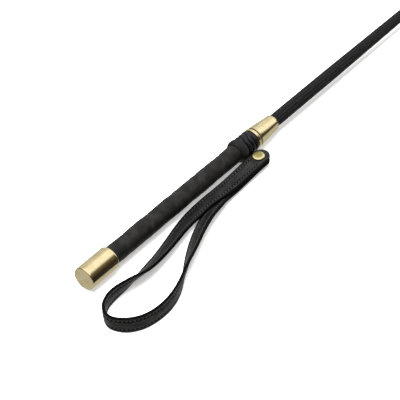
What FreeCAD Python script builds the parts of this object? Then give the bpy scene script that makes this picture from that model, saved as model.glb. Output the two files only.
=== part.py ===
"""Riding crop: a brass-capped, leather-bound handle with a wrist strap, a braided shaft and a flap.

The handle's axis lies along +X with the butt's end face at X = 0, and +Z is up.  The crop rests on
its cap and its neck, one cap radius below the axis, with the wrist strap lying beside it at -Y.
"""
import FreeCAD, Part
import math
import os
import re

import Sketcher

Vector = FreeCAD.Vector

# Driving dimensions, in millimetres and degrees.
SIZES = {
    # brass butt cap and the plug inside it
    "cap_radius": 10.0, "cap_length": 31.0, "cap_bore": 8.15, "cap_end": 2.0, "cap_round": 2.0,
    "plug_end": 14.0, "plug_socket": 4.0,
    # core rod, one piece from the plug to the flap
    "rod_radius": 3.5, "rod_taper_start": 214.0, "rod_end": 614.0, "rod_tip_radius": 1.6,
    # handle: former, spiral leather wrap and the turned-back collar of leather at its end
    "former_radius": 7.0, "former_end": 212.0, "grip_radius": 8.0, "grip_end": 185.4,
    "collar_radius": 9.9, "collar_shoulder": 2.2, "collar_end": 193.6,
    # lace binding on the neck
    "lace_turns": 3, "lace_pitch": 4.1, "lace_radius": 2.05, "lace_seat": 8.0, "lace_end": 206.4,
    "lace_outside": 9.25,
    # brass ferrule and the bush inside it
    "bead_start": 206.6, "bead_radius": 9.2, "bead_length": 3.0, "groove_radius": 8.4,
    "bead_ease": 0.6, "groove_length": 1.0, "ferrule_radius": 8.8, "ferrule_end": 234.3,
    "ferrule_tip_radius": 6.75, "ferrule_bore": 5.7, "ferrule_seat": 6.6, "bush_end": 226.5,
    # shaft: filler round the rod and the ribbed braid over it
    "shaft_start": 214.0, "shaft_radius": 5.65, "shaft_mid": 310.0, "shaft_mid_radius": 5.45,
    "shaft_end": 590.0, "shaft_end_radius": 3.0, "braid_wall": 0.8,
    # whipping at the tip, and the leather flap with its tongue
    "whip_start": 576.0, "whip_end": 590.0, "whip_radius": 3.9, "whip_ease": 0.4,
    "tongue_start": 590.3, "tongue_end": 618.0, "tongue_root_width": 8.0, "tongue_width": 15.0,
    "tongue_layer": 2.4, "flap_start": 619.2, "flap_end": 662.0, "flap_width": 27.0,
    "flap_shoulder": 630.0, "flap_layer": 1.6, "flap_corner": 5.0,
    # wrist strap, its rivet and the short tab that ties it to the neck
    "strap_width": 14.2, "strap_thickness": 2.4, "rivet_x": 195.1, "rivet_y": 16.2,
    "strap_upper": 1.5, "strap_lower": 5.5, "tab_middle": 3.5, "tab_thickness": 1.4,
    "tab_width": 9.0, "tab_start": 9.4, "tab_root_start": 6.6, "tab_root_end": 9.25,
    "tab_clearance": 0.15,
    "post_radius": 2.0, "post_play": 0.06, "rivet_radius": 5.5, "rivet_rim": 0.8,
    "rivet_dome": 2.2, "rivet_foot": 0.8, "foot_radius": 4.5, "strap_play": 0.1,
}

# The strap's inner edge, from the upper leg's end past the rivet, where its outline starts to round
# off, round the loop to the lower leg's end: along the handle, away from it, height above the
# floor, and lean.  The lean is how far the strap has turned up about that edge: 0 lies flat with
# the grain side up, 90 stands on edge, 180 is flat with the grain side down.
FLOOR = -10.0
STRAP_EDGE = [
    (197.5, -10.4, 8.5, 0), (189, -10.5, 8.5, 0), (182, -10.8, 8.5, 0), (171, -10.9, 7.5, 2),
    (158, -10.7, 6.0, 5), (143, -10.1, 4.8, 10),
    (129, -9.6, 4.1, 15), (116, -9.3, 2.6, 16), (105, -9.9, 1.6, 19), (92, -12.4, 1.25, 26),
    (77, -16.0, 1.2, 31), (61, -19.4, 1.15, 36), (47, -21.5, 1.1, 40), (34.5, -23.4, 0.9, 50),
    (21, -25.2, 0.5, 72), (5, -26.2, 0.1, 88), (-6.5, -28.8, 0.0, 92), (-15, -35, 0.0, 95),
    (-18.3, -44, 0.0, 95), (-13.8, -54.8, 0.0, 88), (-3.5, -62.2, 0.0, 88), (10, -65.6, 0.0, 88),
    (26, -65.5, 0.0, 86), (42, -60.5, 0.0, 90), (56, -52.4, 0.2, 100), (69, -43.4, 0.6, 118),
    (81.5, -35.8, 0.9, 130), (93.5, -29.7, 1.0, 136), (105, -24.9, 1.05, 140),
    (116.5, -20.6, 1.1, 145), (129.5, -16.8, 1.15, 153), (143, -12.9, 1.2, 165),
    (158, -11.5, 2.0, 174), (171, -11.0, 3.6, 179), (182, -10.8, 4.5, 180),
    (189, -10.5, 4.5, 180), (197.5, -10.4, 4.5, 180),
]
SECTIONS_PER_SPAN = 2
CLOSE = 0.01  # edges this near to where one is wanted are that edge

doc = FreeCAD.newDocument("riding_crop")
sheet = doc.addObject("Spreadsheet::Sheet", "sizes")
for row, (alias, value) in enumerate(SIZES.items(), start=1):
    sheet.set(f"A{row}", alias)
    sheet.set(f"B{row}", str(value))
    sheet.setAlias(f"B{row}", alias)
doc.recompute()


def bound(formula):
    """Write a formula of aliases as an expression on the sheet."""
    return re.sub(r"[a-z][a-z_]+", lambda word: "sizes." + word.group(), formula)


def value(formula):
    """The number that a formula of aliases gives now."""
    return float(sheet.evalExpression(bound(formula)))


def origin_plane(body, role):
    return next(plane for plane in body.Origin.OriginFeatures if plane.Role == role)


def outline_sketch(body, name, plane, corners):
    """A closed polygon whose corners are bound to the sheet, on one of the body's own planes."""
    sketch = body.newObject("Sketcher::SketchObject", name)
    sketch.AttachmentSupport = (origin_plane(body, plane), [""])
    sketch.MapMode = "FlatFace"
    points = [Vector(value(across), value(up), 0) for across, up in corners]
    count = len(points)
    for index, point in enumerate(points):
        sketch.addGeometry(Part.LineSegment(point, points[(index + 1) % count]), False)
    for index in range(count):
        sketch.addConstraint(Sketcher.Constraint("Coincident", index, 2, (index + 1) % count, 1))
    for index, corner in enumerate(corners):
        for formula, kind, on_axis in ((corner[0], "DistanceX", -2), (corner[1], "DistanceY", -1)):
            if value(formula) == 0:
                sketch.addConstraint(Sketcher.Constraint("PointOnObject", index, 1, on_axis))
                continue
            number = sketch.addConstraint(
                Sketcher.Constraint(kind, -1, 1, index, 1, value(formula)))
            sketch.setExpression(f"Constraints[{number}]", bound(formula))
    return sketch


def turned(label, corners, axis="H_Axis"):
    """A body of revolution: corners are (along, radius) about X, or (radius, up) about Z."""
    body = doc.addObject("PartDesign::Body", label)
    sketch = outline_sketch(body, label + "_profile", "XZ_Plane", corners)
    revolution = body.newObject("PartDesign::Revolution", label + "_turned")
    revolution.Profile = sketch
    revolution.ReferenceAxis = (sketch, [axis])
    revolution.Angle = 360
    doc.recompute()
    return body


def rounded(body, radius, wanted):
    """Round the edges of a body's last feature for which wanted(edge) holds."""
    base = body.Tip
    edges = [f"Edge{number}" for number, edge in enumerate(base.Shape.Edges, 1) if wanted(edge)]
    fillet = body.newObject("PartDesign::Fillet", body.Name + "_rounding")
    fillet.Base = (base, edges)
    fillet.setExpression("Radius", bound(radius))
    doc.recompute()


def plate(label, corners, thickness, lift):
    """A flat leather layer: an outline in plan, padded upwards from a height."""
    body = doc.addObject("PartDesign::Body", label)
    sketch = outline_sketch(body, label + "_outline", "XY_Plane", corners)
    pad = body.newObject("PartDesign::Pad", label + "_pad")
    pad.Profile = sketch
    pad.setExpression("Length", bound(thickness))
    body.setExpression("Placement.Base.z", bound(lift))
    doc.recompute()
    return body


def is_circle_at(along, radius):
    """A test for the round edge at a place on the handle's axis."""
    def test(edge):
        curve = edge.Curve
        return (isinstance(curve, Part.Circle) and abs(curve.Center.x - value(along)) < CLOSE
                and abs(curve.Radius - value(radius)) < CLOSE)
    return test


def is_upright(edge):
    """A test for the straight vertical edges of a plate."""
    return abs(edge.tangentAt(edge.FirstParameter).z) > 0.99


# ---- butt: cap, plug ----
cap = turned("butt_cap", [
    ("0", "0"), ("0", "cap_radius"), ("cap_length", "cap_radius"), ("cap_length", "cap_bore"),
    ("cap_end", "cap_bore"), ("cap_end", "0")])
rounded(cap, "cap_round", is_circle_at("0", "cap_radius"))
turned("butt_plug", [
    ("cap_end", "0"), ("cap_end", "cap_bore"), ("plug_end", "cap_bore"),
    ("plug_end", "rod_radius"), ("plug_socket", "rod_radius"), ("plug_socket", "0")])

# ---- core rod ----
turned("core_rod", [
    ("plug_socket", "0"), ("plug_socket", "rod_radius"), ("rod_taper_start", "rod_radius"),
    ("rod_end", "rod_tip_radius"), ("rod_end", "0")])

# ---- handle: former, leather wrap, collar ----
turned("grip_former", [
    ("plug_end", "rod_radius"), ("plug_end", "former_radius"), ("former_end", "former_radius"),
    ("former_end", "rod_radius")])
turned("grip_wrap", [
    ("plug_end", "former_radius"), ("plug_end", "grip_radius"), ("grip_end", "grip_radius"),
    ("grip_end", "former_radius")])
turned("neck_collar_ring", [
    ("grip_end", "former_radius"), ("grip_end", "grip_radius"),
    ("grip_end + collar_shoulder", "collar_radius"), ("collar_end", "collar_radius"),
    ("collar_end", "former_radius")])

# ---- lace binding: turns of lace laid side by side on the neck ----
lace_seat = doc.addObject("Part::Cylinder", "lace_seat")
lace_seat.setExpression("Radius", bound("lace_seat"))
lace_seat.setExpression("Height", bound("lace_end - collar_end"))
lace_seat.Placement.Rotation = FreeCAD.Rotation(Vector(0, 1, 0), 90)
lace_seat.setExpression("Placement.Base.x", bound("collar_end"))
lace_parts = [lace_seat]
for turn in range(SIZES["lace_turns"]):
    torus = doc.addObject("Part::Torus", f"lace_turn_{turn + 1}")
    torus.setExpression("Radius1", bound("lace_outside - lace_radius"))
    torus.setExpression("Radius2", bound("lace_radius"))
    torus.Placement.Rotation = FreeCAD.Rotation(Vector(0, 1, 0), 90)
    torus.setExpression("Placement.Base.x", bound(f"collar_end + lace_radius + {turn} * lace_pitch"))
    lace_parts.append(torus)
lace = doc.addObject("Part::MultiFuse", "lace_turns_joined")
lace.Shapes = lace_parts
lace_bore = doc.addObject("Part::Cylinder", "lace_bore")
lace_bore.setExpression("Radius", bound("former_radius"))
lace_bore.setExpression("Height", bound("lace_end"))
lace_bore.Placement.Rotation = FreeCAD.Rotation(Vector(0, 1, 0), 90)
lace_ring = doc.addObject("Part::Cut", "lace_ring")
lace_ring.Base = lace
lace_ring.Tool = lace_bore

# ---- tab: its root is bound under the collar and the lace, so both part round it ----
slot = doc.addObject("Part::Box", "tab_slot")
slot.setExpression("Length", bound("tab_width"))
slot.setExpression("Width", bound("tab_root_end"))
slot.setExpression("Height", bound("tab_thickness"))
slot.setExpression("Placement.Base.x", bound("rivet_x - tab_width / 2"))
slot.setExpression("Placement.Base.y", bound("-tab_root_end"))
slot.setExpression("Placement.Base.z", bound("-tab_middle - tab_thickness / 2"))
# a round flat in the collar, where the tab's moving half turns
relief = doc.addObject("Part::Cylinder", "tab_relief")
relief.setExpression("Radius", bound("tab_width / 2 + tab_clearance"))
relief.setExpression("Height", bound("rivet_y - tab_root_end"))
relief.Placement.Rotation = FreeCAD.Rotation(Vector(1, 0, 0), 90)
relief.setExpression("Placement.Base.x", bound("rivet_x"))
relief.setExpression("Placement.Base.y", bound("-tab_root_end"))
relief.setExpression("Placement.Base.z", bound("-tab_middle"))
tab_way = doc.addObject("Part::Fuse", "tab_way")
tab_way.Base = slot
tab_way.Tool = relief
for label, whole in (("neck_collar", doc.neck_collar_ring), ("neck_binding", lace_ring)):
    parted = doc.addObject("Part::Cut", label)
    parted.Base = whole
    parted.Tool = tab_way
tab_root = doc.addObject("Part::Box", "tab_root")
tab_root.setExpression("Length", bound("tab_width"))
tab_root.setExpression("Width", bound("tab_root_end - tab_root_start"))
tab_root.setExpression("Height", bound("tab_thickness"))
tab_root.setExpression("Placement.Base.x", bound("rivet_x - tab_width / 2"))
tab_root.setExpression("Placement.Base.y", bound("-tab_root_end"))
tab_root.setExpression("Placement.Base.z", bound("-tab_middle - tab_thickness / 2"))

tab_strip = doc.addObject("Part::Box", "tab_strip")
tab_strip.setExpression("Length", bound("tab_width"))
tab_strip.setExpression("Width", bound("rivet_y - tab_start"))
tab_strip.setExpression("Height", bound("tab_thickness"))
tab_strip.setExpression("Placement.Base.x", bound("rivet_x - tab_width / 2"))
tab_strip.setExpression("Placement.Base.y", bound("-rivet_y"))
tab_strip.setExpression("Placement.Base.z", bound("-tab_middle - tab_thickness / 2"))


def disc(name, radius, height, lift):
    """A cylinder on the rivet's axis."""
    cylinder = doc.addObject("Part::Cylinder", name)
    cylinder.setExpression("Radius", bound(radius))
    cylinder.setExpression("Height", bound(height))
    cylinder.setExpression("Placement.Base.x", bound("rivet_x"))
    cylinder.setExpression("Placement.Base.y", bound("-rivet_y"))
    cylinder.setExpression("Placement.Base.z", bound(lift))
    return cylinder


tab_blank = doc.addObject("Part::Fuse", "tab_blank")
tab_blank.Base = tab_strip
tab_blank.Tool = disc("tab_end", "tab_width / 2", "tab_thickness", "-tab_middle - tab_thickness / 2")
tab = doc.addObject("Part::Cut", "hanger_tab")
tab.Base = tab_blank
tab.Tool = disc("tab_hole", "post_radius", "2 * tab_middle", "-2 * tab_middle")

# ---- rivet: post through the strap's two ends and the tab, dome on top, foot below ----
stack_top = "-strap_upper + strap_thickness / 2 + strap_play"
stack_foot = "-strap_lower - strap_thickness / 2 - strap_play"
disc("rivet_post", "post_radius", f"{stack_top} + rivet_rim / 2 - ({stack_foot})", stack_foot)
disc("rivet_foot", "foot_radius", "rivet_foot", f"{stack_foot} - rivet_foot")
dome_ball = doc.addObject("Part::Sphere", "dome_ball")
ball_radius = "((rivet_radius ^ 2 + (rivet_dome - rivet_rim) ^ 2) / (2 * (rivet_dome - rivet_rim)))"
dome_ball.setExpression("Radius", bound(ball_radius))
dome_ball.setExpression("Placement.Base.x", bound("rivet_x"))
dome_ball.setExpression("Placement.Base.y", bound("-rivet_y"))
dome_ball.setExpression("Placement.Base.z", bound(f"{stack_top} + rivet_dome - {ball_radius}"))
dome = doc.addObject("Part::Common", "rivet_dome")
dome.Base = disc("dome_disc", "rivet_radius", "rivet_dome", stack_top)
dome.Tool = dome_ball
rivet_cap = doc.addObject("Part::Cut", "rivet_cap")
rivet_cap.Base = dome
rivet_cap.Tool = disc("dome_socket", "post_radius", "rivet_rim / 2", stack_top)

# ---- ferrule and bush ----
turned("ferrule", [
    ("bead_start", "former_radius"), ("bead_start", "bead_radius - bead_ease"),
    ("bead_start + bead_ease", "bead_radius"),
    ("bead_start + bead_length - bead_ease", "bead_radius"),
    ("bead_start + bead_length", "groove_radius"),
    ("bead_start + bead_length + groove_length", "groove_radius"),
    ("bead_start + bead_length + groove_length", "ferrule_radius"),
    ("ferrule_end", "ferrule_tip_radius"), ("ferrule_end", "ferrule_bore"),
    ("bush_end", "ferrule_bore"), ("bush_end", "ferrule_seat"),
    ("former_end", "ferrule_seat"), ("former_end", "former_radius")])
turned("ferrule_bush", [
    ("shaft_start", "shaft_radius"), ("shaft_start", "ferrule_seat"),
    ("bush_end", "ferrule_seat"), ("bush_end", "shaft_radius")])

# ---- shaft: filler and braid ----
taper = "(rod_radius - rod_tip_radius) / (rod_end - rod_taper_start)"
rod_at_shaft_end = f"rod_radius - (shaft_end - rod_taper_start) * {taper}"
turned("shaft_filler", [
    ("shaft_start", "rod_radius"), ("shaft_start", "shaft_radius - braid_wall"),
    ("shaft_mid", "shaft_mid_radius - braid_wall"), ("shaft_end", "shaft_end_radius - braid_wall"),
    ("shaft_end", rod_at_shaft_end)])
turned("shaft_braid", [
    ("shaft_start", "shaft_radius - braid_wall"), ("shaft_start", "shaft_radius"),
    ("shaft_mid", "shaft_mid_radius"), ("shaft_end", "shaft_end_radius"),
    ("shaft_end", "shaft_end_radius - braid_wall"), ("shaft_mid", "shaft_mid_radius - braid_wall")])

# ---- tip: whipping, tongue layers, flap layers ----
shaft_slope = "(shaft_mid_radius - shaft_end_radius) / (shaft_end - shaft_mid)"
turned("tip_whipping", [
    ("whip_start", f"shaft_end_radius + (shaft_end - whip_start) * {shaft_slope}"),
    ("whip_start", "whip_radius - whip_ease"), ("whip_start + whip_ease", "whip_radius"),
    ("whip_end - whip_ease", "whip_radius"), ("whip_end", "whip_radius - whip_ease"),
    ("whip_end", "shaft_end_radius")])
tongue = [
    ("tongue_start", "-tongue_root_width / 2"), ("tongue_end", "-tongue_width / 2"),
    ("tongue_end", "tongue_width / 2"), ("tongue_start", "tongue_root_width / 2")]
for label, lift in (("flap_tongue_upper", "0"), ("flap_tongue_lower", "-tongue_layer")):
    layer = plate(label + "_blank", tongue, "tongue_layer", lift)
    grooved = doc.addObject("Part::Cut", label)
    grooved.Base = layer
    grooved.Tool = doc.core_rod
flap = [
    ("flap_start", "-tongue_width / 2"), ("flap_shoulder", "-flap_width / 2"),
    ("flap_end", "-flap_width / 2"), ("flap_end", "flap_width / 2"),
    ("flap_shoulder", "flap_width / 2"), ("flap_start", "tongue_width / 2")]
for label, lift in (("flap_face", "0"), ("flap_back", "-flap_layer")):
    layer = plate(label, flap, "flap_layer", lift)
    rounded(layer, "flap_corner", lambda edge: is_upright(edge)
            and edge.BoundBox.XMin > value("flap_end") - CLOSE)


# ---- wrist strap: a grain-side layer and a lining, sewn face to face ----
def on_edge(span, fraction):
    """A point and lean on the strap's inner edge: a Catmull-Rom curve through STRAP_EDGE."""
    last = len(STRAP_EDGE) - 1
    a, b, c, d = (STRAP_EDGE[min(max(span + step, 0), last)] for step in (-1, 0, 1, 2))
    return [
        0.5 * (2 * q + (r - p) * fraction + (2 * p - 5 * q + 4 * r - s) * fraction ** 2
               + (3 * q - p - 3 * r + s) * fraction ** 3)
        for p, q, r, s in zip(a, b, c, d)]


def strap_stations():
    """Edge point, direction across the strap and direction of its grain side, along the strap."""
    steps = [(span, part / SECTIONS_PER_SPAN) for span in range(len(STRAP_EDGE) - 1)
             for part in range(SECTIONS_PER_SPAN)]
    steps.append((len(STRAP_EDGE) - 2, 1.0))
    rows = [on_edge(*step) for step in steps]
    points = [Vector(x, y, FLOOR + height) for x, y, height, lean in rows]
    stations = []
    for index, point in enumerate(points):
        ahead = points[min(index + 1, len(points) - 1)]
        behind = points[max(index - 1, 0)]
        along = (ahead - behind).normalize()
        level = Vector(-along.y, along.x, 0).normalize()
        lean = math.radians(rows[index][3])
        across = level * math.cos(lean) + Vector(0, 0, 1) * math.sin(lean)
        grain = along.cross(across).normalize()
        stations.append((point, across, grain))
    return stations


def strap_layer(inner, outer):
    """One layer between two distances from the strap's middle face, with both riveted ends."""
    width = value("strap_width")
    wires = []
    for point, across, grain in strap_stations():
        corners = [point + grain * inner, point + across * width + grain * inner,
                   point + across * width + grain * outer, point + grain * outer]
        wires.append(Part.makePolygon(corners + corners[:1]))
    layer = Part.makeLoft(wires, True, True)
    half = width / 2
    end_along, end_edge = STRAP_EDGE[0][:2]
    centre = Vector(end_along, end_edge - half, 0)
    for middle, up in ((-value("strap_upper"), 1), (-value("strap_lower"), -1)):
        low = middle + min(up * inner, up * outer)
        centre.z = low
        rim = Part.Arc(centre + Vector(0, -half, 0), centre + Vector(half, 0, 0),
                       centre + Vector(0, half, 0)).toShape()
        chord = Part.LineSegment(centre + Vector(0, half, 0), centre + Vector(0, -half, 0)).toShape()
        end = Part.Face(Part.Wire([rim, chord])).extrude(Vector(0, 0, outer - inner))
        layer = layer.fuse(end)
    hole = Part.makeCylinder(value("post_radius + post_play"), value("2 * cap_radius"),
                             Vector(value("rivet_x"), -value("rivet_y"), -value("cap_radius")))
    return layer.cut(hole)


half_strap = value("strap_thickness / 2")
for label, inner, outer in (("strap_face", 0, half_strap), ("strap_lining", -half_strap, 0)):
    feature = doc.addObject("Part::Feature", label)
    feature.Shape = strap_layer(inner, outer)
    feature.Placement = FreeCAD.Placement()

doc.recompute()

NODES = [
    "butt_cap", "butt_plug", "core_rod", "grip_former", "grip_wrap", "neck_collar", "neck_binding",
    "tab_root", "ferrule", "ferrule_bush", "shaft_filler", "shaft_braid", "tip_whipping",
    "flap_tongue_upper", "flap_tongue_lower", "hanger_tab", "rivet_cap", "rivet_post",
    "rivet_foot", "strap_face", "strap_lining", "flap_face", "flap_back",
]
failed = [item.Name for item in doc.Objects if {"Invalid", "Error"} & set(item.State)]
if failed:
    raise RuntimeError("objects failed: " + ", ".join(failed))
for name in NODES:
    node = doc.getObject(name)
    node.Label = name
    shape = node.Shape
    if shape.isNull() or not shape.isValid() or len(shape.Solids) != 1:
        raise RuntimeError(f"{name} is not one valid solid")

os.makedirs("parts", exist_ok=True)
for name in NODES:
    shape = doc.getObject(name).Shape
    shape.exportStep(f"parts/{name}.step")
    print(f"{name:20s} {shape.Volume:10.1f} mm3")
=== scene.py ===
"""A riding crop on a pale floor: brass-capped leather handle, wrist strap, braided shaft and flap.

The handle's axis is X, its butt's end face is at X = 0, and the wrist strap lies on its -Y side.
"""
import math

import bmesh
import bpy
import numpy as np
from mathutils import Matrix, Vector


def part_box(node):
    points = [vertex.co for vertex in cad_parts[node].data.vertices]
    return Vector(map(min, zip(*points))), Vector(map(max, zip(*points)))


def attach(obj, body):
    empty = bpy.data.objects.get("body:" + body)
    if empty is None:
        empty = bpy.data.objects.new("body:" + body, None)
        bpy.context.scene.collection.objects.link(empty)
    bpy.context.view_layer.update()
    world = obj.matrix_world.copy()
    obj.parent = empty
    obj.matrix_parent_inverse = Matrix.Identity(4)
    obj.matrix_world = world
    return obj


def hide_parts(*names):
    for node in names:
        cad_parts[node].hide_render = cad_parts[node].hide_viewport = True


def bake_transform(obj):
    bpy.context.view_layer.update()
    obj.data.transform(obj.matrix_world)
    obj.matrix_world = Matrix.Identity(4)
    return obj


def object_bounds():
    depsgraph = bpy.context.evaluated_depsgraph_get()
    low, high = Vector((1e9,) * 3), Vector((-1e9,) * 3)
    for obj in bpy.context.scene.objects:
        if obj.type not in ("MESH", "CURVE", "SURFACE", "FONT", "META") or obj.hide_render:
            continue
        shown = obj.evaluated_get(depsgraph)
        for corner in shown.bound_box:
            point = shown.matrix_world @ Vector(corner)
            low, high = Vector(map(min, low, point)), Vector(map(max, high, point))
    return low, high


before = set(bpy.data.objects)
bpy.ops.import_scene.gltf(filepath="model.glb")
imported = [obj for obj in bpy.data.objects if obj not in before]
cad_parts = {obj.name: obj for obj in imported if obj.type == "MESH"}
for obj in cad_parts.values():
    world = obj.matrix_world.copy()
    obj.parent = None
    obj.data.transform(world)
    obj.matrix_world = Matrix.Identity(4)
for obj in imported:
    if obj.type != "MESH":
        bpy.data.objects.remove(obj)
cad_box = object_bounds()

mm = 0.001


# ---- room ----
# A pale table top under one large soft lamp.  The room that the brass mirrors has a bright
# ceiling, a dark near wall and a paler far wall; the camera looks down from the butt's side.
class Nodes:
    """A node tree being filled: add() is the one way that a node gets into it."""

    def __init__(self, tree):
        self.tree = tree

    def add(self, kind, settings=None, sockets=None, output=0):
        """A node of one type: its settings are set first, then its sockets' values or links."""
        node = self.tree.nodes.new(kind)
        for key, value in (settings or {}).items():
            if key == "stops":
                elements = node.color_ramp.elements
                for index, (place, colour) in enumerate(value):
                    stop = elements[index] if index < len(elements) else elements.new(place)
                    stop.position = place
                    stop.color = (*colour, 1)
            else:
                setattr(node, key, value)
        for key, value in (sockets or {}).items():
            self.feed(node.inputs[key], value)
        return Signal(self, node.outputs[output])

    def feed(self, socket, value):
        """Link a signal to a socket, or set the socket's own value."""
        if isinstance(value, Signal):
            self.tree.links.new(value.socket, socket)
        else:
            socket.default_value = value


class Signal:
    """An output that takes part in arithmetic: each operator adds one Math node."""

    def __init__(self, nodes, socket):
        self.nodes = nodes
        self.socket = socket

    def out(self, name):
        """Another output of the same node."""
        return Signal(self.nodes, self.socket.node.outputs[name])

    def maths(self, operation, first, second):
        return self.nodes.add("ShaderNodeMath", {"operation": operation}, {0: first, 1: second})

    def __add__(self, other):
        return self.maths("ADD", self, other)

    __radd__ = __add__

    def __mul__(self, other):
        return self.maths("MULTIPLY", self, other)

    __rmul__ = __mul__

    def __sub__(self, other):
        return self.maths("SUBTRACT", self, other)

    def __rsub__(self, other):
        return self.maths("SUBTRACT", other, self)

    def step(self, low, high):
        """0 below low, 1 above high, and an even S between them."""
        return self.nodes.add("ShaderNodeMapRange", {"interpolation_type": "SMOOTHSTEP"},
                              {"Value": self, "From Min": low, "From Max": high})


world = bpy.data.worlds.new("studio")
world.use_nodes = True
bpy.context.scene.world = world
room = Nodes(world.node_tree)
heading = room.add("ShaderNodeSeparateXYZ", sockets={0: room.add("ShaderNodeTexCoord")})
far_wall = heading.out("Y").step(0.1, 0.6) * heading.out("X").step(-0.35, 0.05)
near_wall = heading.out("Z").step(0.0, 0.62)
towards_tip = heading.maths("MAXIMUM", heading.out("X") - 0.57, 0.0)
lamp_end = heading.out("X").step(0.58, 0.66) * heading.out("Y").step(-0.05, 0.35)
ceiling = (heading.out("Z") + 2.2 * towards_tip).step(0.60, 0.80) * (1 - 0.42 * lamp_end)
table = 1 - heading.out("Z").step(-0.16, -0.02)
table_light, ceiling_light = 0.58, 1.25
wall = 0.03 + 0.10 * near_wall + 0.62 * far_wall
brightness = table * table_light + (1 - table) * (ceiling_light * ceiling + (1 - ceiling) * wall)
wall_tint = room.add("ShaderNodeMix", {"data_type": "RGBA"}, {
    0: brightness.step(0.05, 0.5), 6: (1.0, 0.72, 0.45, 1), 7: (1.0, 0.99, 0.97, 1)}, 2)
room.feed(world.node_tree.nodes["Background"].inputs["Strength"], brightness)
room.feed(world.node_tree.nodes["Background"].inputs["Color"], wall_tint)

floor_half, floor_glow = 20.0, 0.34
floor_level = cad_box[0].z
floor_corners = [(-1, -1), (1, -1), (1, 1), (-1, 1)]
floor_mesh = bpy.data.meshes.new("floor")
floor_mesh.from_pydata(
    [(x * floor_half, y * floor_half, floor_level) for x, y in floor_corners], [], [(0, 1, 2, 3)])
floor = bpy.data.objects.new("floor", floor_mesh)
bpy.context.scene.collection.objects.link(floor)
floor.visible_glossy = False
floor_paint = bpy.data.materials.new("floor_paper")
floor_paint.use_nodes = True
paper = floor_paint.node_tree.nodes["Principled BSDF"]
paper.inputs["Base Color"].default_value = (0.9, 0.9, 0.9, 1)
paper.inputs["Roughness"].default_value = 0.9
paper.inputs["Specular IOR Level"].default_value = 0.0
paper.inputs["Emission Color"].default_value = (1, 1, 1, 1)
paper.inputs["Emission Strength"].default_value = floor_glow
floor_mesh.materials.append(floor_paint)

aim = Vector((124.9, -12.9, 0.0)) * mm
lamp_light = bpy.data.lights.new("soft_lamp", "AREA")
lamp_light.shape = "SQUARE"
lamp_light.size = 1.7
lamp_light.energy = 75.0
lamp = bpy.data.objects.new("soft_lamp", lamp_light)
lamp.location = aim + Vector((-0.05, 0.45, 1.5))
lamp.rotation_euler = (aim - lamp.location).to_track_quat("-Z", "Y").to_euler()
lamp.visible_glossy = False
bpy.context.scene.collection.objects.link(lamp)

view_turn, view_drop, view_distance = math.radians(39.33), math.radians(43.39), 1.8
line_of_sight = Vector((math.cos(view_turn) * math.cos(view_drop),
                        math.sin(view_turn) * math.cos(view_drop), -math.sin(view_drop)))
camera = bpy.data.objects.new("camera", bpy.data.cameras.new("camera"))
camera.data.lens = 204.4
camera.data.sensor_width = 36.0
camera.location = aim - view_distance * line_of_sight
camera.rotation_euler = line_of_sight.to_track_quat("-Z", "Y").to_euler()
bpy.context.scene.collection.objects.link(camera)
bpy.context.scene.camera = camera
bpy.context.scene.view_settings.view_transform = "Standard"


# ---- butt cap ----
# A thimble of solid brass, turned on a lathe and satin finished, pushed over the end of the grip.
# Its closed end is faintly domed with a rounded edge, and its open lip is eased.
class Finish(Nodes):
    """A material's nodes.  `fixed` gives the shader sockets that are the same all over."""

    def __init__(self, name, fixed):
        self.material = bpy.data.materials.new(name)
        self.material.use_nodes = True
        super().__init__(self.material.node_tree)
        self.shader = self.tree.nodes["Principled BSDF"]
        for key, value in fixed.items():
            self.shader.inputs[key].default_value = value

    def mix(self, mask, first, second):
        """A colour that goes from first to second as the mask goes from 0 to 1."""
        return self.add("ShaderNodeMix", {"data_type": "RGBA"}, {0: mask, 6: first, 7: second}, 2)

    def spot(self, kind="Object", stretch=(1, 1, 1)):
        """Places on the piece, stretched: in metres on Object coordinates or the UV pattern map."""
        source = self.add("ShaderNodeTexCoord").out(kind)
        return self.add("ShaderNodeMapping", sockets={"Vector": source, "Scale": stretch})

    def noise(self, where, size, detail=3.0, roughness=0.5):
        """Cloudy noise from 0 to 1 whose blotches are about `size` metres across."""
        return self.add("ShaderNodeTexNoise", sockets={
            "Vector": where, "Scale": 1 / size, "Detail": detail, "Roughness": roughness})

    def cells(self, where, size, feature="F1"):
        """Distance to the nearest of scattered points about `size` metres apart, in those sizes."""
        return self.add("ShaderNodeTexVoronoi", {"feature": feature},
                        {"Vector": where, "Scale": 1 / size})

    def relief(self, *heights):
        """Bump from pairs of a height signal, 0 to 1, and how deep it is in metres."""
        normal = None
        for height, depth in heights:
            sockets = {"Height": height, "Distance": depth, "Strength": 1.0}
            if normal is not None:
                sockets["Normal"] = normal
            normal = self.add("ShaderNodeBump", sockets=sockets)
        self.feed(self.shader.inputs["Normal"], normal)

    def colour(self, signal):
        self.feed(self.shader.inputs["Base Color"], signal)

    def roughness(self, signal):
        self.feed(self.shader.inputs["Roughness"], signal)


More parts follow.
